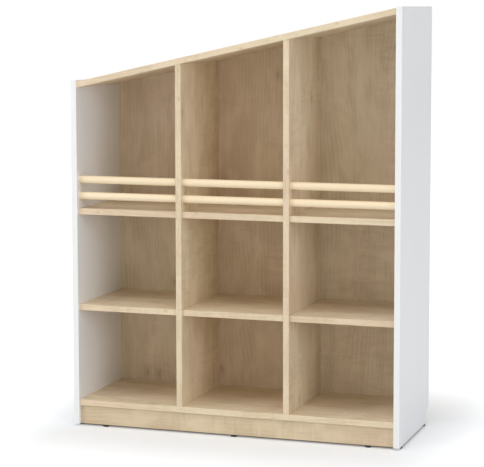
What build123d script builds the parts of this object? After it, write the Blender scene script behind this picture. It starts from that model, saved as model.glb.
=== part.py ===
from build123d import *
import os
from math import cos, radians, tan

# Open display cabinet with a slanted top, in millimetres.
# X runs from the short side to the tall side, Y from the front to the back and Z up.
# The origin is on the floor, under the middle of the cabinet.

# Carcass
board = 18.0  # thickness of every board
bay_width = 314.0  # clear width of one bay
bay_count = 3
depth = 375.0  # over the side panels, front to back
compartment_height = 273.5  # clear height of the two lower rows
rail_height = 56.5  # plinth rails under the bottom shelf
low_end_height = 1045.5  # floor to the top's upper face beside the short panel
top_slope = 12.5  # degrees
panel_rise = 3.5  # side panel above the top board beside it

# How far each front edge lies behind the fronts of the side panels
top_recess = 2.0
divider_recess = 4.0
shelf_recess = 10.0
plinth_recess = 12.0

# Edge bands
band = 2.0
band_round = 1.0

# Back panel, set in grooves ahead of the rear edges
back_thickness = 8.0
back_inset = 31.0
groove = 6.0
back_clearance = 0.1
back_floor_gap = 3.0  # back panel above the bottom of the carcass

# Cut-out for a skirting board, at the rear bottom corner of each side panel
skirting_depth = 26.0
skirting_height = 46.0  # floor to the cut-out's inner corner
skirting_rise = 10.0  # slope of its top, up to the rear edge

# Round guard rails in front of the upper compartments
rod_diameter = 23.0
rod_recess = 25.0  # front of the side panels to the rod's axis
rod_first = 37.5  # shelf to the lower rod's axis
rod_spacing = 49.0
rod_count = 2
rod_seat = 6.0  # depth of the blind bore at each end
rod_clearance = 0.1

# Rows of fittings
front_row = 70.0  # front of the side panels to the first row
rear_row = 66.0  # back panel to the last row
fitting_sides = 8  # hidden pins and their bores have flat sides

# Wooden dowels
dowel_diameter = 8.0
dowel_in_face = 12.0
dowel_in_edge = 18.0
long_dowel_in_edge = 20.0
dowel_clearance = 0.1
dowel_end_gap = 0.3

# Cam locks and their bolts
cam_diameter = 15.0
cam_height = 12.5
cam_setback = 34.0  # board end to the cam's axis
cam_clearance = 0.1
bolt_diameter = 5.0
bolt_in_face = 11.0
bolt_head_diameter = 7.0
bolt_head_length = 4.0
bolt_bore_diameter = 8.0

# Screws up through the bottom shelf into the dividers
screw_diameter = 7.0
screw_head_diameter = 11.0
screw_head_height = 4.0
screw_length = 50.0
screw_clearance = 0.1

# Screw-in feet
foot_height = 7.0
foot_diameter = 20.0
foot_chamfer = 1.2
foot_flats = 24  # flats round the rim, to turn the foot by
stud_diameter = 6.0
stud_length = 18.0
stud_clearance = 0.1
stud_end_gap = 2.0
insert_diameter = 9.0
insert_length = 12.0
insert_clearance = 0.05
side_foot_front = 34.0  # front of the side panels to the foot's axis
side_foot_rear = 46.0  # rear of the side panels to the foot's axis
rail_foot_inset = 79.0  # side panel to the outer feet of a rail
rail_dowel_inset = 279.0  # side panel to the dowels on a rail

# Places worked out from the sizes above
inner_width = bay_count * bay_width + (bay_count - 1) * board
inner_left = -inner_width / 2
inner_right = inner_width / 2
outer_left = inner_left - board
outer_right = inner_right + board
front = -depth / 2
rear = depth / 2
back_rear_face = rear - back_inset
back_front_face = back_rear_face - back_thickness

carcass_bottom = foot_height
bottom_shelf_z = carcass_bottom + rail_height
lower_shelf_z = bottom_shelf_z + board + compartment_height
upper_shelf_z = lower_shelf_z + board + compartment_height

slope = tan(radians(top_slope))
upright_thickness = board / cos(radians(top_slope))
upright_groove = groove / cos(radians(top_slope))

bay_lefts = [inner_left + i * (bay_width + board) for i in range(bay_count)]
bay_names = ["left", "middle", "right"]
divider_lefts = [x + bay_width for x in bay_lefts[:-1]]
divider_names = ["left_divider", "right_divider"]
shelf_levels = {"lower": lower_shelf_z, "upper": upper_shelf_z}

rod_heights = [upper_shelf_z + board + rod_first + i * rod_spacing for i in range(rod_count)]
rod_names = ["lower", "upper"]
rod_bore_radius = rod_diameter / 2 + rod_clearance
rod_y = front + rod_recess

fitting_ys = [front + front_row, back_front_face - rear_row]
middle_y = sum(fitting_ys) / 2
dowel_radius = dowel_diameter / 2
dowel_bore_radius = dowel_radius + dowel_clearance
cam_radius = cam_diameter / 2
bolt_reach = cam_setback + bolt_head_length / 2

plinth_y = front + plinth_recess + board / 2
rear_rail_y = back_front_face - board / 2
rail_middle_z = carcass_bottom + rail_height / 2
rail_dowel_xs = [inner_left + rail_dowel_inset, inner_right - rail_dowel_inset]

foot_radius = foot_diameter / 2
insert_radius = insert_diameter / 2
side_foot_x = outer_right - foot_radius
side_foot_ys = {"front": front + side_foot_front, "rear": rear - side_foot_rear}
rail_foot_xs = {
    "left": inner_left + rail_foot_inset,
    "middle": 0.0,
    "right": inner_right - rail_foot_inset,
}


def top_face(x):
    """Height of the slanted top's upper face at x."""
    return low_end_height + (x - inner_left) * slope


def top_underside(x):
    """Height of the slanted top's lower face at x."""
    return top_face(x) - upright_thickness


def save(piece, name):
    """Label a finished piece and write it as a file of its own."""
    piece.part.label = name
    export_step(piece.part, f"parts/{name}.step")


def at_y(y):
    """Upright plane across the cabinet; a negative extrusion runs to the back."""
    return Plane.XZ.offset(-y)


def slanted_outline(x_left, x_right, lower_left, lower_right, upper_left, upper_right):
    """Front view with upright ends, drawn in the sketch that calls it."""
    Polygon(
        (x_left, lower_left),
        (x_right, lower_right),
        (x_right, upper_right),
        (x_left, upper_left),
        align=None,
    )


def pins(plane, length, radius, spots, mode=Mode.ADD):
    """Flat-sided pins that stand on a plane; a negative length runs against its normal."""
    with BuildSketch(plane) as outlines:
        with Locations(*spots):
            RegularPolygon(radius, fitting_sides, major_radius=False)
    extrude(outlines.sketch, amount=length, mode=mode)


def pins_x(x, length, radius, spots):
    """Pins along X from x."""
    pins(Plane.YZ.offset(x), length, radius, spots)


def pins_z(z, length, radius, spots):
    """Pins along Z from the height z."""
    pins(Plane.XY.offset(z), length, radius, spots)


def bores_x(x, length, radius, spots):
    """Bores along X from the face at x."""
    pins(Plane.YZ.offset(x), length, radius, spots, Mode.SUBTRACT)


def bores_z(z, length, radius, spots):
    """Bores along Z from the height z."""
    pins(Plane.XY.offset(z), length, radius, spots, Mode.SUBTRACT)


def rod_seats(x, length):
    """Round blind bores for the ends of the guard rails, from the face at x."""
    with BuildSketch(Plane.YZ.offset(x)) as circles:
        with Locations(*[(rod_y, z) for z in rod_heights]):
            Circle(rod_bore_radius)
    extrude(circles.sketch, amount=length, mode=Mode.SUBTRACT)


def foot_bores(spots):
    """Bores for the feet's inserts and studs, from the bottom edge of a board."""
    bores_z(carcass_bottom, stud_length + stud_end_gap, insert_radius + insert_clearance, spots)


def round_band():
    """Round the two long front edges of the band that is being built."""
    long_edges = faces().sort_by(Axis.Y)[0].edges().sort_by(SortBy.LENGTH)[-2:]
    fillet(long_edges, radius=band_round)


os.makedirs("parts", exist_ok=True)

# Side panels
side_level_zs = [z + board / 2 for z in (bottom_shelf_z, lower_shelf_z, upper_shelf_z)]
panels = {
    "left_side_panel": (outer_left, inner_left, 1),
    "right_side_panel": (inner_right, inner_right, -1),
}
for name, (panel_left, inner_face, inward) in panels.items():
    into_panel = -inward
    panel_top = top_face(inner_face) + panel_rise
    groove_end = inner_face + into_panel * groove
    groove_top = max(top_underside(inner_face), top_underside(groove_end)) + upright_groove
    end_dowel_z = top_face(inner_face + inward * dowel_in_edge / 2) - upright_thickness / 2
    with BuildPart() as side_panel:
        with BuildSketch(Plane.YZ.offset(panel_left)):
            Polygon(
                (front + band, carcass_bottom),
                (rear - skirting_depth, carcass_bottom),
                (rear - skirting_depth, skirting_height),
                (rear, skirting_height + skirting_rise),
                (rear, panel_top),
                (front + band, panel_top),
                align=None,
            )
        extrude(amount=board)
        with BuildSketch(Plane.YZ.offset(inner_face)):
            with Locations((back_front_face, carcass_bottom)):
                Rectangle(
                    back_thickness + back_clearance,
                    groove_top - carcass_bottom,
                    align=(Align.MIN, Align.MIN),
                )
        extrude(amount=into_panel * groove, mode=Mode.SUBTRACT)
        bolt_spots = [(y, z) for y in fitting_ys for z in side_level_zs]
        bores_x(
            inner_face,
            into_panel * (bolt_in_face + dowel_end_gap),
            bolt_diameter / 2 + cam_clearance,
            bolt_spots,
        )
        dowel_spots = [(middle_y, z) for z in side_level_zs]
        dowel_spots += [(y, end_dowel_z) for y in fitting_ys]
        dowel_spots += [(y, rail_middle_z) for y in (plinth_y, rear_rail_y)]
        bores_x(
            inner_face,
            into_panel * (dowel_in_face + dowel_end_gap),
            dowel_bore_radius,
            dowel_spots,
        )
        rod_seats(inner_face, into_panel * rod_seat)
        foot_bores([(into_panel * side_foot_x, y) for y in side_foot_ys.values()])
    save(side_panel, name)

    with BuildPart() as side_band:
        with BuildSketch(Plane.YZ.offset(panel_left)):
            with Locations((front, carcass_bottom)):
                Rectangle(band, panel_top - carcass_bottom, align=(Align.MIN, Align.MIN))
        extrude(amount=board)
        round_band()
    save(side_band, name.replace("panel", "edge_band"))

# Slanted top
end_dowels = {
    inner_left: (1, top_face(inner_left + dowel_in_edge / 2) - upright_thickness / 2),
    inner_right: (-1, top_face(inner_right - dowel_in_edge / 2) - upright_thickness / 2),
}
divider_middles = [x + board / 2 for x in divider_lefts]
divider_dowel_spots = [(x, y) for x in divider_middles for y in fitting_ys]
with BuildPart() as top_board:
    with BuildSketch(at_y(front + top_recess + band)):
        slanted_outline(
            inner_left,
            inner_right,
            top_underside(inner_left),
            top_underside(inner_right),
            top_face(inner_left),
            top_face(inner_right),
        )
    extrude(amount=-(depth - top_recess - band))
    with BuildSketch(at_y(back_front_face)):
        slanted_outline(
            inner_left,
            inner_right,
            top_underside(inner_left),
            top_underside(inner_right),
            top_underside(inner_left) + upright_groove,
            top_underside(inner_right) + upright_groove,
        )
    extrude(amount=-(back_thickness + back_clearance), mode=Mode.SUBTRACT)
    for x, (inward, z) in end_dowels.items():
        bores_x(
            x,
            inward * (dowel_in_edge + dowel_end_gap),
            dowel_bore_radius,
            [(y, z) for y in fitting_ys],
        )
    for x in divider_middles:
        bores_z(
            top_underside(x) + dowel_in_face + dowel_end_gap,
            -2 * dowel_in_face,
            dowel_bore_radius,
            [(x, y) for y in fitting_ys],
        )
save(top_board, "top_board")

with BuildPart() as top_band:
    with BuildSketch(at_y(front + top_recess)):
        slanted_outline(
            inner_left,
            inner_right,
            top_underside(inner_left),
            top_underside(inner_right),
            top_face(inner_left),
            top_face(inner_right),
        )
    extrude(amount=-band)
    round_band()
save(top_band, "top_edge_band")

# Dividers
divider_bottom = bottom_shelf_z + board
divider_front = front + divider_recess
divider_level_zs = [z + board / 2 for z in shelf_levels.values()]
for name, x_left in zip(divider_names, divider_lefts):
    x_right = x_left + board
    x_middle = x_left + board / 2
    with BuildPart() as divider:
        with BuildSketch(at_y(divider_front + band)):
            slanted_outline(
                x_left,
                x_right,
                divider_bottom,
                divider_bottom,
                top_underside(x_left),
                top_underside(x_right),
            )
        extrude(amount=-(back_front_face - divider_front - band))
        bores_x(
            x_left,
            board,
            dowel_bore_radius,
            [(y, z) for y in fitting_ys for z in divider_level_zs],
        )
        rod_seats(x_left, rod_seat)
        rod_seats(x_right, -rod_seat)
        bores_z(
            top_underside(x_middle) - dowel_in_edge - dowel_end_gap,
            2 * dowel_in_edge,
            dowel_bore_radius,
            [(x_middle, y) for y in fitting_ys],
        )
        bores_z(
            divider_bottom,
            screw_length - board + dowel_end_gap,
            screw_diameter / 2 + screw_clearance,
            [(x_middle, y) for y in fitting_ys],
        )
    save(divider, name)

    with BuildPart() as divider_band:
        with BuildSketch(at_y(divider_front)):
            slanted_outline(
                x_left,
                x_right,
                divider_bottom,
                divider_bottom,
                top_underside(x_left),
                top_underside(x_right),
            )
        extrude(amount=-band)
        round_band()
    save(divider_band, f"{name}_edge_band")


def shelf_body(x_left, x_right, z, recess):
    """Plain board from its front band to the back panel."""
    y_front = front + recess + band
    with BuildSketch(Plane.XY.offset(z)) as outline:
        with Locations((x_left, y_front)):
            Rectangle(x_right - x_left, back_front_face - y_front, align=(Align.MIN, Align.MIN))
    extrude(outline.sketch, amount=board)


def cam_end(x, inward, z):
    """Cam pockets, bolt bores and one dowel bore at a board's end on a side panel."""
    middle_z = z + board / 2
    pocket_depth = middle_z - z + cam_height / 2
    bores_z(
        z,
        pocket_depth,
        cam_radius + cam_clearance,
        [(x + inward * cam_setback, y) for y in fitting_ys],
    )
    bores_x(x, inward * cam_setback, bolt_bore_diameter / 2, [(y, middle_z) for y in fitting_ys])
    bores_x(
        x,
        inward * (dowel_in_edge + dowel_end_gap),
        dowel_bore_radius,
        [(middle_y, middle_z)],
    )


def divider_end(x, inward, z):
    """Bores for the long dowels at a shelf's end on a divider."""
    bores_x(
        x,
        inward * (long_dowel_in_edge + dowel_end_gap),
        dowel_bore_radius,
        [(y, z + board / 2) for y in fitting_ys],
    )


def shelf_band(x_left, x_right, z, recess):
    """Front band of a level board."""
    with BuildSketch(at_y(front + recess)) as outline:
        with Locations((x_left, z)):
            Rectangle(x_right - x_left, board, align=(Align.MIN, Align.MIN))
    extrude(outline.sketch, amount=-band)
    round_band()


# Bottom shelf, one board through all the bays
with BuildPart() as bottom_shelf:
    shelf_body(inner_left, inner_right, bottom_shelf_z, divider_recess)
    cam_end(inner_left, 1, bottom_shelf_z)
    cam_end(inner_right, -1, bottom_shelf_z)
    bores_z(bottom_shelf_z, board, screw_diameter / 2 + screw_clearance, divider_dowel_spots)
    bores_z(
        bottom_shelf_z,
        screw_head_height,
        screw_head_diameter / 2 + screw_clearance,
        divider_dowel_spots,
    )
    bores_z(
        bottom_shelf_z,
        dowel_in_face + dowel_end_gap,
        dowel_bore_radius,
        [(x, y) for x in rail_dowel_xs for y in (plinth_y, rear_rail_y)],
    )
save(bottom_shelf, "bottom_shelf")

with BuildPart() as bottom_band:
    shelf_band(inner_left, inner_right, bottom_shelf_z, divider_recess)
save(bottom_band, "bottom_shelf_edge_band")

# Shelves of the two upper levels
for level, z in shelf_levels.items():
    for bay, x_left in zip(bay_names, bay_lefts):
        x_right = x_left + bay_width
        with BuildPart() as shelf:
            shelf_body(x_left, x_right, z, shelf_recess)
            if x_left == inner_left:
                cam_end(x_left, 1, z)
            else:
                divider_end(x_left, 1, z)
            if x_left == bay_lefts[-1]:
                cam_end(x_right, -1, z)
            else:
                divider_end(x_right, -1, z)
        save(shelf, f"{level}_shelf_{bay}")

        with BuildPart() as front_band:
            shelf_band(x_left, x_right, z, shelf_recess)
        save(front_band, f"{level}_shelf_{bay}_edge_band")

# Guard rails
rod_length = bay_width + 2 * (rod_seat - rod_clearance)
for bay, x_left in zip(bay_names, bay_lefts):
    for rod_name, z in zip(rod_names, rod_heights):
        with BuildPart() as rod:
            with BuildSketch(Plane.YZ.offset(x_left - rod_seat + rod_clearance)):
                with Locations((rod_y, z)):
                    Circle(rod_diameter / 2)
            extrude(amount=rod_length)
        save(rod, f"guard_rod_{bay}_{rod_name}")

# Back panel
back_left = inner_left - groove + back_clearance
back_right = inner_right + groove - back_clearance
back_lift = upright_groove - back_clearance
with BuildPart() as back_panel:
    with BuildSketch(at_y(back_front_face)):
        slanted_outline(
            back_left,
            back_right,
            carcass_bottom + back_floor_gap,
            carcass_bottom + back_floor_gap,
            top_underside(back_left) + back_lift,
            top_underside(back_right) + back_lift,
        )
    extrude(amount=-back_thickness)
save(back_panel, "back_panel")

# Rails of the plinth
rails = {"plinth_front_rail": plinth_y, "plinth_rear_rail": rear_rail_y}
for name, y in rails.items():
    with BuildPart() as rail:
        with BuildSketch(Plane.XY.offset(carcass_bottom)):
            with Locations((0, y)):
                Rectangle(inner_width, board)
        extrude(amount=rail_height)
        for x, inward in ((inner_left, 1), (inner_right, -1)):
            bores_x(
                x,
                inward * (dowel_in_edge + dowel_end_gap),
                dowel_bore_radius,
                [(y, rail_middle_z)],
            )
        bores_z(
            bottom_shelf_z,
            -(dowel_in_edge + dowel_end_gap),
            dowel_bore_radius,
            [(x, y) for x in rail_dowel_xs],
        )
        foot_bores([(x, y) for x in rail_foot_xs.values()])
    save(rail, name)

# Cam locks, each with an open side for the head of its bolt
cam_places = [(inner_left, 1), (inner_right, -1)]
cam_levels = [bottom_shelf_z, *shelf_levels.values()]
with BuildPart() as cam_locks:
    for x, inward in cam_places:
        spots = [(x + inward * cam_setback, y) for y in fitting_ys]
        for z in cam_levels:
            pins_z(z + board / 2 - cam_height / 2, cam_height, cam_radius, spots)
        slot_spots = [(y, z + board / 2) for y in fitting_ys for z in cam_levels]
        with BuildSketch(Plane.YZ.offset(x + inward * cam_setback / 2)):
            with Locations(*slot_spots):
                Rectangle(bolt_bore_diameter, bolt_bore_diameter)
        slot_length = cam_setback / 2 + bolt_head_length
        extrude(amount=inward * slot_length, mode=Mode.SUBTRACT)
save(cam_locks, "cam_locks")

# Bolts that screw into the side panels and end in the cam locks
with BuildPart() as cam_bolts:
    for x, inward in cam_places:
        spots = [(y, z + board / 2) for y in fitting_ys for z in cam_levels]
        bolt_start = x - inward * bolt_in_face
        pins_x(bolt_start, inward * (bolt_in_face + bolt_reach), bolt_diameter / 2, spots)
        head_start = x + inward * (bolt_reach - bolt_head_length)
        pins_x(head_start, inward * bolt_head_length, bolt_head_diameter / 2, spots)
save(cam_bolts, "cam_bolts")

# Short wooden dowels
short_length = dowel_in_face + dowel_in_edge
with BuildPart() as short_dowels:
    for x, inward in cam_places:
        ends = [(middle_y, z + board / 2) for z in cam_levels]
        ends += [(y, end_dowels[x][1]) for y in fitting_ys]
        ends += [(y, rail_middle_z) for y in rails.values()]
        pins_x(x - inward * dowel_in_face, inward * short_length, dowel_radius, ends)
    for x in divider_middles:
        spots = [(x, y) for y in fitting_ys]
        pins_z(top_underside(x) - dowel_in_edge, short_length, dowel_radius, spots)
    spots = [(x, y) for x in rail_dowel_xs for y in rails.values()]
    pins_z(bottom_shelf_z - dowel_in_edge, short_length, dowel_radius, spots)
save(short_dowels, "short_dowels")

# Long wooden dowels, through the dividers into the shelves on both sides
long_length = board + 2 * long_dowel_in_edge
with BuildPart() as long_dowels:
    for x in divider_lefts:
        spots = [(y, z) for y in fitting_ys for z in divider_level_zs]
        pins_x(x - long_dowel_in_edge, long_length, dowel_radius, spots)
save(long_dowels, "long_dowels")

# Screws up through the bottom shelf
with BuildPart() as divider_screws:
    pins_z(bottom_shelf_z, screw_length, screw_diameter / 2, divider_dowel_spots)
    pins_z(bottom_shelf_z, screw_head_height, screw_head_diameter / 2, divider_dowel_spots)
save(divider_screws, "divider_screws")

# Screw-in feet and the threaded inserts that take them
foot_places = {}
for end, y in side_foot_ys.items():
    foot_places[f"left_side_{end}"] = (-side_foot_x, y)
    foot_places[f"right_side_{end}"] = (side_foot_x, y)
for side, x in rail_foot_xs.items():
    foot_places[f"plinth_{side}"] = (x, plinth_y)
    foot_places[f"rear_rail_{side}"] = (x, rear_rail_y)

for name, (x, y) in foot_places.items():
    with BuildPart() as foot:
        with BuildSketch():
            with Locations((x, y)):
                RegularPolygon(foot_radius, foot_flats)
        extrude(amount=foot_height)
        chamfer(faces().sort_by(Axis.Z)[0].edges(), length=foot_chamfer)
        pins_z(foot_height, stud_length, stud_diameter / 2, [(x, y)])
    save(foot, f"foot_{name}")

with BuildPart() as foot_inserts:
    pins_z(carcass_bottom, insert_length, insert_radius, foot_places.values())
    stud_bore_radius = stud_diameter / 2 + stud_clearance
    bores_z(carcass_bottom, insert_length, stud_bore_radius, foot_places.values())
save(foot_inserts, "foot_inserts")
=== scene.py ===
import math

import bmesh
import bpy
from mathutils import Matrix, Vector


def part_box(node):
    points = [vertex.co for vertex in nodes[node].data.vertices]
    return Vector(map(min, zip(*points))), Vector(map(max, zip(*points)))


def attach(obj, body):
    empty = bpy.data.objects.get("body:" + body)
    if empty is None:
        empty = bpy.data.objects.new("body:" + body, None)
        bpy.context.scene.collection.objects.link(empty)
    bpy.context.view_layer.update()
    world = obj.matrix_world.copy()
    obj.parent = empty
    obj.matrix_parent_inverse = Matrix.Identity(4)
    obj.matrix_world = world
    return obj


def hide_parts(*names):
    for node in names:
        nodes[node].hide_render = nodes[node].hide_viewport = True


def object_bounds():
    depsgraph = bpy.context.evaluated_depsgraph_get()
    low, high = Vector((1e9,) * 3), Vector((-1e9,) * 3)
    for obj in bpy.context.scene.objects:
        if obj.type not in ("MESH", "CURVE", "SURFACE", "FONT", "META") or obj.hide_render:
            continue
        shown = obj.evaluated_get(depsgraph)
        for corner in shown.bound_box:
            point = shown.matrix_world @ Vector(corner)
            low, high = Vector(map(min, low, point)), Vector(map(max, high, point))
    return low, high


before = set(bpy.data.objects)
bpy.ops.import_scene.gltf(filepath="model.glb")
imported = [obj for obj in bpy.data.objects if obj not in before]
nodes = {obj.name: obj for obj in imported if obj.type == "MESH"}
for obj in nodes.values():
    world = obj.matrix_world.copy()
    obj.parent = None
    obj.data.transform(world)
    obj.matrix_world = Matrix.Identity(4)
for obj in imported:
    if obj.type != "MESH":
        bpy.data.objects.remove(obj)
cad_low, cad_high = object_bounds()

# Lengths in metres, angles in radians unless a name says degrees, colours in linear light
LEFT_DIVIDER_LOW, LEFT_DIVIDER_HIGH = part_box("left_divider")
RIGHT_DIVIDER_LOW, RIGHT_DIVIDER_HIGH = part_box("right_divider")
FOOT_LOW, FOOT_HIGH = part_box("foot_plinth_middle")

DIVIDER_STEP = RIGHT_DIVIDER_LOW.x - LEFT_DIVIDER_LOW.x
TOP_SLOPE = math.atan((RIGHT_DIVIDER_HIGH.z - LEFT_DIVIDER_HIGH.z) / DIVIDER_STEP)

BOARD_KNOT_GAP = 0.17
BAND_KNOT_GAP = 0.055
GROWTH_LINE_GAP = 0.011

MAPLE_PALE = (0.87, 0.75, 0.55)
MAPLE_MIDDLE = (0.70, 0.575, 0.39)
MAPLE_LINE = (0.48, 0.345, 0.215)
KNOT_BROWN = (0.42, 0.24, 0.13)
PINK_TINT = (1.0, 0.955, 0.985)
EDGE_PALE = (0.83, 0.70, 0.495)
EDGE_MIDDLE = (0.71, 0.575, 0.385)
PLINTH_PALE = (0.75, 0.62, 0.43)
PLINTH_MIDDLE = (0.60, 0.475, 0.305)
ROD_PALE = (0.955, 0.805, 0.57)
ROD_MIDDLE = (0.90, 0.73, 0.485)
DOWEL_PALE = (0.72, 0.56, 0.38)
DOWEL_MIDDLE = (0.62, 0.46, 0.29)
LAMINATE_WHITE = (0.885, 0.893, 0.908)
LAMINATE_SHADE = (0.87, 0.878, 0.895)
BAND_WHITE = (0.90, 0.90, 0.895)
BAND_SHADE = (0.875, 0.875, 0.868)
CUT_EDGE_GREY = (0.62, 0.60, 0.565)
RUBBED_WHITE = (0.74, 0.735, 0.72)
PLASTIC_BLACK = (0.012, 0.012, 0.013)
PLASTIC_DUST = (0.05, 0.049, 0.047)
ZINC_BRIGHT = (0.62, 0.62, 0.63)
ZINC_DULL = (0.48, 0.49, 0.51)

WORLD_LIGHT = 0.5
FLOOR_PALE = (0.765, 0.78, 0.795)
FLOOR_REACH = 30.0
LAMP_SIZE = 4.5
LAMPS = {
    "right": ((7.0, -5.0, 2.6), 150.0),
    "left": ((-6.5, -6.0, 2.6), 235.0),
    "top": ((0.4, -3.2, 8.0), 170.0),
}


class Graph:
    """Short names for the shader nodes of one material."""

    def __init__(self, name):
        self.material = bpy.data.materials.new(name)
        self.material.use_nodes = True
        self.tree = self.material.node_tree
        self.shader = self.tree.nodes["Principled BSDF"]

    def add(self, kind, **settings):
        node = self.tree.nodes.new(kind)
        for key, value in settings.items():
            setattr(node, key, value)
        return node

    def feed(self, socket, value):
        """Set a socket to a plain value, or join it to another socket."""
        if isinstance(value, bpy.types.NodeSocket):
            self.tree.links.new(value, socket)
        else:
            socket.default_value = value

    def math(self, operation, first, second=0.0, clamp=False):
        node = self.add("ShaderNodeMath", operation=operation, use_clamp=clamp)
        self.feed(node.inputs[0], first)
        self.feed(node.inputs[1], second)
        return node.outputs[0]

    def place(self):
        """The point on the object, in metres."""
        return self.add("ShaderNodeTexCoord").outputs["Object"]

    def split(self, vector):
        node = self.add("ShaderNodeSeparateXYZ")
        self.feed(node.inputs[0], vector)
        return node.outputs["X"], node.outputs["Y"], node.outputs["Z"]

    def join(self, x, y, z):
        node = self.add("ShaderNodeCombineXYZ")
        for socket, value in zip(node.inputs, (x, y, z)):
            self.feed(socket, value)
        return node.outputs[0]

    def scaled(self, vector, scale):
        node = self.add("ShaderNodeVectorMath", operation="MULTIPLY")
        self.feed(node.inputs[0], vector)
        self.feed(node.inputs[1], scale)
        return node.outputs[0]

    def shifted(self, vector, offset):
        node = self.add("ShaderNodeVectorMath", operation="ADD")
        self.feed(node.inputs[0], vector)
        self.feed(node.inputs[1], offset)
        return node.outputs[0]

    def noise(self, vector, scale, detail=3.0, roughness=0.5, distortion=0.0):
        """Noise from 0 to 1, with so many waves to the metre along each axis."""
        node = self.add("ShaderNodeTexNoise")
        self.feed(node.inputs["Vector"], self.scaled(vector, scale))
        node.inputs["Scale"].default_value = 1.0
        node.inputs["Detail"].default_value = detail
        node.inputs["Roughness"].default_value = roughness
        node.inputs["Distortion"].default_value = distortion
        return node.outputs["Fac"]

    def span(self, value, low, high, to_low=0.0, to_high=1.0, smooth=True):
        """Remap a value from one span to another, held at its ends."""
        node = self.add("ShaderNodeMapRange", clamp=True)
        node.interpolation_type = "SMOOTHSTEP" if smooth else "LINEAR"
        for key, number in zip(
            ("Value", "From Min", "From Max", "To Min", "To Max"),
            (value, low, high, to_low, to_high),
        ):
            self.feed(node.inputs[key], number)
        return node.outputs["Result"]

    def blend(self, share, first, second, mode="MIX"):
        """Mix two colours."""
        node = self.add("ShaderNodeMix", data_type="RGBA", blend_type=mode)
        self.feed(node.inputs[0], share)
        for socket, colour in zip((node.inputs[6], node.inputs[7]), (first, second)):
            self.feed(socket, (*colour, 1.0) if isinstance(colour, tuple) else colour)
        return node.outputs[2]

    def bump(self, height, strength, distance, normal=None):
        node = self.add("ShaderNodeBump")
        node.inputs["Strength"].default_value = strength
        node.inputs["Distance"].default_value = distance
        self.feed(node.inputs["Height"], height)
        if normal is not None:
            self.feed(node.inputs["Normal"], normal)
        return node.outputs["Normal"]

    def finish(self, colour, roughness, normal=None, **fixed):
        self.feed(self.shader.inputs["Base Color"], colour)
        self.feed(self.shader.inputs["Roughness"], roughness)
        if normal is not None:
            self.feed(self.shader.inputs["Normal"], normal)
        for key, value in fixed.items():
            self.shader.inputs[key.replace("_", " ")].default_value = value
        return self.material


def paint(name, material):
    """Give a CAD node its material."""
    mesh = nodes[name].data
    mesh.materials.clear()
    mesh.materials.append(material)


def edge_distance(graph, low, high, point):
    """Distance to the nearest edge of a board that fills a box, in metres.

    Near an edge two of the three distances to faces are small, so the middle one of them counts.
    """
    reach = []
    for value, near, far in zip(graph.split(point), low, high):
        from_near = graph.math("SUBTRACT", value, near)
        to_far = graph.math("SUBTRACT", far, value)
        reach.append(graph.math("ABSOLUTE", graph.math("MINIMUM", from_near, to_far)))
    a, b, c = reach
    least = graph.math("MINIMUM", graph.math("MINIMUM", a, b), c)
    most = graph.math("MAXIMUM", graph.math("MAXIMUM", a, b), c)
    total = graph.math("ADD", graph.math("ADD", a, b), c)
    return graph.math("SUBTRACT", graph.math("SUBTRACT", total, least), most)


def grain_space(graph, along, seed):
    """Coordinates along the grain, across it and into the board, moved to a place of their own."""
    x, y, z = graph.split(graph.place())
    if along.startswith("slope"):
        run = graph.math("MULTIPLY", x, math.cos(TOP_SLOPE))
        rise = graph.math("MULTIPLY", z, math.sin(TOP_SLOPE))
        back = graph.math("MULTIPLY", x, math.sin(TOP_SLOPE))
        up = graph.math("MULTIPLY", z, math.cos(TOP_SLOPE))
        uphill = graph.math("ADD", run, rise)
        off_board = graph.math("SUBTRACT", up, back)
        turned = (
            graph.join(uphill, off_board, y) if "upright" in along else graph.join(uphill, y, off_board)
        )
    elif along == "x":
        turned = graph.join(x, y, z)
    elif along == "x upright":
        turned = graph.join(x, z, y)
    elif along == "z across x":
        turned = graph.join(z, x, y)
    else:
        turned = graph.join(z, y, x)
    return graph.shifted(turned, (seed * 3.7, seed * 1.31, seed * 0.83))


def knots(graph, grain, spacing):
    """Distance to the nearest small knot in metres, and how strong that knot is."""
    along, across, _ = graph.split(grain)
    flat = graph.join(graph.math("MULTIPLY", along, 0.55), across, 0.0)
    cells = graph.add("ShaderNodeTexVoronoi", voronoi_dimensions="2D", feature="F1")
    graph.feed(cells.inputs["Vector"], flat)
    cells.inputs["Scale"].default_value = 1.0 / spacing
    distance = graph.math("MULTIPLY", cells.outputs["Distance"], spacing)
    pick = graph.split(cells.outputs["Color"])[0]
    return distance, graph.span(pick, 0.35, 0.9)


def growth_lines(graph, grain, knot_distance, knot_strength, spacing):
    """Late wood of a flat-sawn board, from 0 to 1: long arches that bend round the knots."""
    along, across, _ = graph.split(grain)
    wander = graph.noise(grain, (1.3, 2.2, 2.2), detail=2.0)
    side = graph.math("ADD", across, graph.math("MULTIPLY", wander, 0.22))
    drift = graph.noise(grain, (2.6, 1.0, 1.0), detail=2.0)
    depth = graph.math("ADD", graph.math("MULTIPLY", along, 0.06), graph.math("MULTIPLY", drift, 0.16))
    swell = graph.span(knot_distance, 0.0, 3.5 * spacing, spacing, 0.0)
    swell = graph.math("MULTIPLY", swell, knot_strength)
    depth = graph.math("ADD", depth, swell)
    squares = graph.math("ADD", graph.math("POWER", side, 2.0), graph.math("POWER", depth, 2.0))
    rough = graph.noise(grain, (9.0, 90.0, 90.0), detail=3.0)
    phase = graph.math("DIVIDE", graph.math("SQRT", squares), spacing)
    phase = graph.math("ADD", phase, graph.math("MULTIPLY", rough, 0.9))
    saw = graph.math("FRACT", phase)
    return graph.math("MULTIPLY", graph.span(saw, 0.1, 0.8), graph.span(saw, 0.8, 1.0, 1.0, 0.0))


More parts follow.
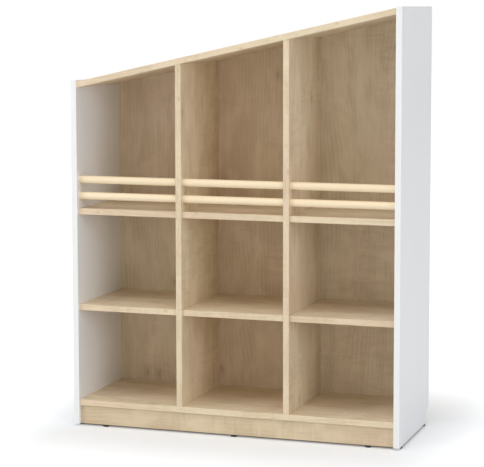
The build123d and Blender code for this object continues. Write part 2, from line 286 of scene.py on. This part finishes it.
def maple_tone(graph, grain, clouds, fibre):
    """How far the wood goes from its pale to its middle colour, from 0 to 1."""
    bands = graph.noise(grain, (0.7, 20.0, 20.0), detail=3.0, roughness=0.55)
    strips = graph.noise(grain, (8.0, 90.0, 90.0), detail=3.0, roughness=0.6, distortion=0.15)
    layers = ((bands, 0.33, 0.28), (strips, 0.34, 0.2), (clouds, 0.36, 0.4), (fibre, 0.3, 0.12))
    tone = 0.0
    for layer, low, weight in layers:
        spread = graph.span(layer, low, 1.0 - low)
        tone = graph.math("ADD", tone, graph.math("MULTIPLY", spread, weight))
    ripple = graph.noise(grain, (55.0, 10.0, 10.0), detail=3.0, distortion=1.1)
    ripple_place = graph.noise(grain, (3.2, 4.2, 4.2), detail=2.0)
    curl = graph.math("SUBTRACT", ripple, 0.5)
    curl = graph.math("MULTIPLY", curl, graph.span(ripple_place, 0.44, 0.6))
    return graph.math("ADD", tone, graph.math("MULTIPLY", curl, 1.5), clamp=True)


def with_knots(graph, colour, distance, strength, knot_gap):
    """The wood with a soft halo and a small dark heart at each knot."""
    halo_reach, heart_reach, share = 0.12 * knot_gap, 0.04 * knot_gap, 0.4
    for reach, shade in ((halo_reach, MAPLE_LINE), (heart_reach, KNOT_BROWN)):
        spot = graph.math("MULTIPLY", graph.span(distance, 0.0, reach, share, 0.0), strength)
        colour = graph.blend(spot, colour, shade)
    return colour


def with_worn_edges(graph, colour, roughness, grain, node):
    """The colour and roughness of a board, darker and duller in places along its edges."""
    low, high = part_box(node)
    near = edge_distance(graph, low, high, graph.place())
    break_up = graph.noise(grain, (60.0, 60.0, 60.0), detail=3.0)
    worn = graph.math("MULTIPLY", graph.span(near, 0.0004, 0.0022, 0.4, 0.0), break_up)
    rub = graph.math("MULTIPLY", graph.span(near, 0.0, 0.004, 0.14, 0.0), break_up)
    return graph.blend(worn, colour, MAPLE_LINE), graph.math("ADD", roughness, rub)


def maple(name, along, seed, node=None, pale=MAPLE_PALE, middle=MAPLE_MIDDLE, knot_gap=BOARD_KNOT_GAP):
    """Satin maple: soft bands and clouds, faint growth lines, fine fibres, ripples and small knots."""
    graph = Graph(name)
    grain = grain_space(graph, along, seed)
    knot_distance, knot_strength = knots(graph, grain, knot_gap)
    late = growth_lines(graph, grain, knot_distance, knot_strength, GROWTH_LINE_GAP)
    clouds = graph.noise(grain, (8.0, 17.0, 17.0), detail=4.0, roughness=0.6, distortion=0.3)
    fibre = graph.noise(grain, (14.0, 560.0, 560.0), detail=4.0, roughness=0.65)
    fleck = graph.noise(grain, (55.0, 700.0, 700.0), detail=2.0)
    pink = graph.noise(grain, (1.7, 11.0, 11.0), detail=2.0)

    colour = graph.blend(maple_tone(graph, grain, clouds, fibre), pale, middle)
    colour = graph.blend(graph.span(pink, 0.35, 0.65), colour, PINK_TINT, "MULTIPLY")
    line = graph.math("MULTIPLY", late, graph.span(clouds, 0.38, 0.64, 0.03, 0.24))
    colour = graph.blend(line, colour, MAPLE_LINE)
    colour = graph.blend(graph.span(fleck, 0.64, 0.74, 0.0, 0.3), colour, MAPLE_LINE)
    colour = with_knots(graph, colour, knot_distance, knot_strength, knot_gap)
    roughness = graph.span(fibre, 0.3, 0.7, 0.44, 0.56)
    if node is not None:
        colour, roughness = with_worn_edges(graph, colour, roughness, grain, node)
    normal = graph.bump(fibre, 0.2, 0.0002)
    normal = graph.bump(late, 0.08, 0.0002, normal)
    return graph.finish(colour, roughness, normal, Specular_IOR_Level=0.4)


def maple_band(name, along, seed):
    """Edge band cut from paler maple, with small marks closer together than on the boards."""
    return maple(name, along, seed, None, EDGE_PALE, EDGE_MIDDLE, knot_gap=BAND_KNOT_GAP)


def round_wood(name, seed, pale, middle, axis="x", coat=0.18):
    """Lacquered turned wood with straight fibres and short dark flecks."""
    graph = Graph(name)
    grain = grain_space(graph, axis, seed)
    broad = graph.noise(grain, (2.4, 60.0, 60.0), detail=3.0)
    fibre = graph.noise(grain, (12.0, 700.0, 700.0), detail=5.0, roughness=0.7)
    fleck = graph.noise(grain, (110.0, 1300.0, 1300.0), detail=2.0)
    tone = graph.math("MULTIPLY", graph.span(broad, 0.3, 0.7), 0.5)
    tone = graph.math("ADD", tone, graph.math("MULTIPLY", fibre, 0.5), clamp=True)
    colour = graph.blend(tone, pale, middle)
    colour = graph.blend(graph.span(fleck, 0.62, 0.7, 0.0, 0.32), colour, MAPLE_LINE)
    roughness = graph.span(fibre, 0.3, 0.7, 0.36, 0.5)
    normal = graph.bump(fibre, 0.2, 0.0002)
    return graph.finish(
        colour, roughness, normal, Specular_IOR_Level=0.45, Coat_Weight=coat, Coat_Roughness=0.3
    )


def white_laminate(name, node):
    """Fine pearl melamine, a little duller and greyer along its cut edges."""
    graph = Graph(name)
    point = graph.place()
    pearl = graph.noise(point, (1400.0, 1400.0, 1400.0), detail=2.0, roughness=0.6)
    cloud = graph.noise(point, (2.5, 2.5, 2.5), detail=3.0)
    colour = graph.blend(graph.span(cloud, 0.3, 0.7), LAMINATE_WHITE, LAMINATE_SHADE)
    low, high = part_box(node)
    near = edge_distance(graph, low, high, point)
    break_up = graph.noise(point, (45.0, 45.0, 45.0), detail=4.0)
    seam = graph.span(near, 0.0003, 0.0012, 0.5, 0.0)
    colour = graph.blend(seam, colour, CUT_EDGE_GREY)
    rub = graph.math("MULTIPLY", graph.span(near, 0.0, 0.006, 0.3, 0.0), break_up)
    colour = graph.blend(rub, colour, RUBBED_WHITE)
    roughness = graph.math("ADD", graph.span(pearl, 0.3, 0.7, 0.38, 0.46), rub)
    normal = graph.bump(pearl, 0.16, 0.00012)
    return graph.finish(colour, roughness, normal, Specular_IOR_Level=0.45)


def white_band(name):
    """Smooth plastic edge band with faint lines left by the scraper along its length."""
    graph = Graph(name)
    point = graph.place()
    scrape = graph.noise(point, (900.0, 900.0, 5.0), detail=3.0)
    cloud = graph.noise(point, (30.0, 30.0, 4.0), detail=3.0)
    colour = graph.blend(graph.span(cloud, 0.3, 0.7), BAND_WHITE, BAND_SHADE)
    roughness = graph.span(scrape, 0.3, 0.7, 0.28, 0.4)
    return graph.finish(colour, roughness, graph.bump(scrape, 0.12, 0.0001), Specular_IOR_Level=0.5)


def black_plastic(name):
    """Moulded black plastic with a fine spark texture and patches of dust."""
    graph = Graph(name)
    point = graph.place()
    spark = graph.noise(point, (2600.0, 2600.0, 2600.0), detail=2.0)
    dust = graph.noise(point, (420.0, 420.0, 420.0), detail=4.0)
    colour = graph.blend(graph.span(dust, 0.5, 0.8, 0.0, 0.35), PLASTIC_BLACK, PLASTIC_DUST)
    roughness = graph.span(spark, 0.3, 0.7, 0.42, 0.6)
    return graph.finish(colour, roughness, graph.bump(spark, 0.25, 0.0001))


def zinc(name):
    """Zinc-plated steel with soft spangles."""
    graph = Graph(name)
    point = graph.place()
    spangle = graph.noise(point, (260.0, 260.0, 260.0), detail=3.0)
    fine = graph.noise(point, (2200.0, 2200.0, 2200.0), detail=2.0)
    colour = graph.blend(graph.span(spangle, 0.3, 0.7), ZINC_BRIGHT, ZINC_DULL)
    roughness = graph.span(spangle, 0.3, 0.7, 0.24, 0.42)
    return graph.finish(colour, roughness, graph.bump(fine, 0.15, 0.00008), Metallic=1.0)


def paint_boards():
    """Every board and band gets its own stretch of wood."""
    rows = {"lower": 3, "upper": 7}
    for level, start in rows.items():
        for index, bay in enumerate(("left", "middle", "right")):
            shelf = f"{level}_shelf_{bay}"
            seed = start + index
            paint(shelf, maple(f"maple_{shelf}", "x", seed, shelf))
            band = f"{shelf}_edge_band"
            paint(band, maple_band(f"maple_{band}", "x upright", seed + 20))
    for seed, side in ((12, "left"), (13, "right")):
        divider = f"{side}_divider"
        paint(divider, maple(f"maple_{divider}", "z across y", seed, divider))
        band = f"{divider}_edge_band"
        paint(band, maple_band(f"maple_{band}", "z across x", seed + 20))
    paint("top_board", maple("maple_top_board", "slope", 14))
    paint("top_edge_band", maple_band("maple_top_edge_band", "slope upright", 34))
    paint("bottom_shelf", maple("maple_bottom_shelf", "x", 15, "bottom_shelf"))
    paint("bottom_shelf_edge_band", maple_band("maple_bottom_shelf_edge_band", "x upright", 35))
    paint("back_panel", maple("maple_back_panel", "z across x", 16))
    for seed, side in ((17, "front"), (18, "rear")):
        rail = f"plinth_{side}_rail"
        paint(rail, maple(f"maple_{rail}", "x upright", seed, rail, PLINTH_PALE, PLINTH_MIDDLE))
    for side in ("left", "right"):
        panel = f"{side}_side_panel"
        paint(panel, white_laminate(f"laminate_{side}", panel))
        paint(f"{side}_side_edge_band", white_band(f"white_band_{side}"))


def paint_rods_and_fittings():
    seed = 40
    for bay in ("left", "middle", "right"):
        for level in ("lower", "upper"):
            rod = f"guard_rod_{bay}_{level}"
            paint(rod, round_wood(f"beech_{rod}", seed, ROD_PALE, ROD_MIDDLE))
            seed += 1
    raw = round_wood("raw_beech", seed, DOWEL_PALE, DOWEL_MIDDLE, coat=0.0)
    for name in ("short_dowels", "long_dowels"):
        paint(name, raw)
    plated = zinc("zinc_plate")
    for name in ("cam_locks", "cam_bolts", "divider_screws", "foot_inserts"):
        paint(name, plated)


def grid_mesh(name, rows):
    """Closed mesh from equal rings of points: joined in turn, with a face over each end."""
    made = bmesh.new()
    verts = [[made.verts.new(point) for point in row] for row in rows]
    for lower, upper in zip(verts[:-1], verts[1:]):
        count = len(lower)
        for i in range(count):
            j = (i + 1) % count
            made.faces.new((lower[i], lower[j], upper[j], upper[i]))
    made.faces.new(list(reversed(verts[0])))
    made.faces.new(verts[-1])
    made.normal_update()
    mesh = bpy.data.meshes.new(name)
    made.to_mesh(mesh)
    made.free()
    return mesh


def foot_pad_mesh():
    """Round pad with a gripping rim, a hollowed underside and a raised collar."""
    radius = (FOOT_HIGH.x - FOOT_LOW.x) / 2
    height = 0.007
    rim_low, rim_high = 0.0030, 0.0056
    steps, ribs, rib_depth = 120, 24, 0.0004
    profile = [
        (0.0052, 0.0005),
        (0.0058, 0.0),
        (0.0078, 0.0),
        (0.0086, 0.0004),
        (0.0095, 0.0013),
        (radius, rim_low),
        (radius, rim_high),
        (0.0095, 0.0062),
        (0.0070, 0.0065),
        (0.0062, 0.0066),
        (0.0058, height - 0.0001),
        (0.0050, height),
    ]
    rows = []
    for ring_radius, z in profile:
        ring = []
        for i in range(steps):
            angle = 2 * math.pi * i / steps
            cut = 0.0
            if ring_radius == radius:
                cut = rib_depth * (0.5 - 0.5 * math.cos(ribs * angle))
            r = ring_radius - cut
            ring.append((r * math.cos(angle), r * math.sin(angle), z))
        rows.append(ring)
    return grid_mesh("foot_pad", rows)


def foot_stud_mesh():
    """Threaded stud with a pitch of 1 mm, a plain neck and a bevelled tip."""
    top = FOOT_HIGH.z - FOOT_LOW.z
    bottom = 0.0065
    pitch, major, depth = 0.001, 0.003, 0.0005
    neck, bevel, bevel_depth = 0.0012, 0.0008, 0.0006
    steps, rows_per_turn = 32, 8
    count = int((top - bottom) / pitch * rows_per_turn)
    rows = []
    for k in range(count + 1):
        z = bottom + (top - bottom) * k / count
        ease = min(1.0, (z - bottom) / neck, (top - z) / bevel + 0.05)
        ring = []
        for i in range(steps):
            angle = 2 * math.pi * i / steps
            turn = (z / pitch - i / steps) % 1.0
            groove = depth * abs(2 * turn - 1) * ease
            tip = bevel_depth * max(0.0, 1 - (top - z) / bevel)
            r = major - groove - tip
            ring.append((r * math.cos(angle), r * math.sin(angle), z))
        rows.append(ring)
    return grid_mesh("foot_stud", rows)


def build_feet():
    """A detailed pad and stud stand for each plain foot."""
    pad_mesh = foot_pad_mesh()
    stud_mesh = foot_stud_mesh()
    pad_mesh.materials.append(black_plastic("black_plastic"))
    stud_mesh.materials.append(zinc("stud_zinc"))
    for name in sorted(n for n in nodes if n.startswith("foot_") and n != "foot_inserts"):
        low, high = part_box(name)
        middle = ((low.x + high.x) / 2, (low.y + high.y) / 2, low.z)
        pad = bpy.data.objects.new(f"{name}_pad", pad_mesh)
        stud = bpy.data.objects.new(f"{name}_stud", stud_mesh)
        for piece in (pad, stud):
            bpy.context.scene.collection.objects.link(piece)
            piece.location = middle
            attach(piece, name)
        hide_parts(name)


def floor_glow_and_painted_shadow(graph):
    """Share of white that the camera sees on the floor: none under the cabinet, full far from it; the
    glow held back close round the cabinet is painted shadow.

    The floor beside the cabinet whitens sooner than the floor in front, as in the photograph.
    """
    middle = (cad_low + cad_high) / 2
    reach = (cad_high - cad_low) / 2
    side_inset, front_inset = 0.012, 0.040
    skirt, beside_reach, open_floor = 0.018, 0.25, 0.75
    near_share, beside_share = 0.36, 0.16
    x, y, _ = graph.split(graph.place())
    aside = []
    for value, centre, half in (
        (x, middle.x, reach.x - side_inset),
        (y, middle.y, reach.y - front_inset),
    ):
        offset = graph.math("ABSOLUTE", graph.math("SUBTRACT", value, centre))
        aside.append(graph.math("MAXIMUM", graph.math("SUBTRACT", offset, half), 0.0))
    squares = graph.math("ADD", graph.math("POWER", aside[0], 2.0), graph.math("POWER", aside[1], 2.0))
    distance = graph.math("SQRT", squares)
    # Painted shadow: no glow under the cabinet and only part of it close round it, so the floor there
    # is darker than its lighting makes it.
    out_of_painted_shadow = graph.span(distance, 0.0, skirt)
    full = 1.0 - min(FLOOR_PALE) * WORLD_LIGHT
    away = graph.span(distance, skirt, open_floor, near_share * full, full)
    # The painted shadow is lighter beside the cabinet than in front of it.
    beside = graph.span(aside[0], 0.0, beside_reach, 0.0, beside_share)
    away = graph.math("MINIMUM", graph.math("ADD", away, beside), full)
    return graph.math("MULTIPLY", out_of_painted_shadow, away)


def white_floor():
    """Plain pale floor that stays white to the camera far off, keeps the cabinet's shadow, and has a
    painted shadow round the cabinet where its glow is held back.
    """
    graph = Graph("pale_floor")
    tree = graph.tree
    light = graph.add("ShaderNodeLightPath")
    seen = graph.math("MAXIMUM", light.outputs["Is Camera Ray"], light.outputs["Is Glossy Ray"])
    seen = graph.math("MAXIMUM", seen, light.outputs["Is Transmission Ray"])
    glow = graph.add("ShaderNodeEmission")
    graph.feed(glow.inputs["Strength"], graph.math("MULTIPLY", seen, floor_glow_and_painted_shadow(graph)))
    both = graph.add("ShaderNodeAddShader")
    graph.finish((*FLOOR_PALE, 1.0), 0.8, Specular_IOR_Level=0.1)
    tree.links.new(graph.shader.outputs[0], both.inputs[0])
    tree.links.new(glow.outputs[0], both.inputs[1])
    tree.links.new(both.outputs[0], tree.nodes["Material Output"].inputs["Surface"])
    made = bmesh.new()
    bmesh.ops.create_grid(made, x_segments=4, y_segments=4, size=FLOOR_REACH)
    mesh = bpy.data.meshes.new("floor")
    made.to_mesh(mesh)
    made.free()
    mesh.materials.append(graph.material)
    floor = bpy.data.objects.new("floor", mesh)
    bpy.context.scene.collection.objects.link(floor)
    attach(floor, "foot_plinth_middle")


def studio_world():
    """Even white light from all round, plain white where it is seen."""
    world = bpy.data.worlds.new("studio")
    bpy.context.scene.world = world
    world.use_nodes = True
    tree = world.node_tree
    background = tree.nodes["Background"]
    light = tree.nodes.new("ShaderNodeLightPath")
    seen = light.outputs["Is Camera Ray"]
    for ray in ("Is Glossy Ray", "Is Transmission Ray"):
        both = tree.nodes.new("ShaderNodeMath")
        both.operation = "MAXIMUM"
        tree.links.new(seen, both.inputs[0])
        tree.links.new(light.outputs[ray], both.inputs[1])
        seen = both.outputs[0]
    strength = tree.nodes.new("ShaderNodeMapRange")
    strength.inputs["To Min"].default_value = WORLD_LIGHT
    strength.inputs["To Max"].default_value = 1.0
    tree.links.new(seen, strength.inputs["Value"])
    tree.links.new(strength.outputs["Result"], background.inputs["Strength"])
    background.inputs["Color"].default_value = (1.0, 1.0, 1.0, 1.0)


def soft_lamps():
    """Large round lamps, all pointed at the middle of the cabinet."""
    target = Vector((0.0, 0.0, (cad_low.z + cad_high.z) / 2))
    for name, (place, power) in LAMPS.items():
        data = bpy.data.lights.new(name, "AREA")
        data.shape = "DISK"
        data.size = LAMP_SIZE
        data.energy = power
        lamp = bpy.data.objects.new(name, data)
        bpy.context.scene.collection.objects.link(lamp)
        lamp.location = place
        lamp.rotation_euler = (target - lamp.location).to_track_quat("-Z", "Y").to_euler()


def photo_camera():
    """Camera at the photograph's angle: a long lens, to the right of the cabinet."""
    data = bpy.data.cameras.new("photo_camera")
    data.sensor_width = 36.0
    data.lens = 132.5
    data.shift_y = -0.09
    camera = bpy.data.objects.new("photo_camera", data)
    bpy.context.scene.collection.objects.link(camera)
    camera.location = (1.6873, -5.0618, 1.2558)
    turn, down, roll = 18.73, 5.756, 0.11
    camera.rotation_euler = (math.radians(90 - down), math.radians(roll), math.radians(turn))
    bpy.context.scene.camera = camera


paint_boards()
paint_rods_and_fittings()
build_feet()
white_floor()
studio_world()
soft_lamps()
photo_camera()
bpy.context.scene.view_settings.view_transform = "Standard"
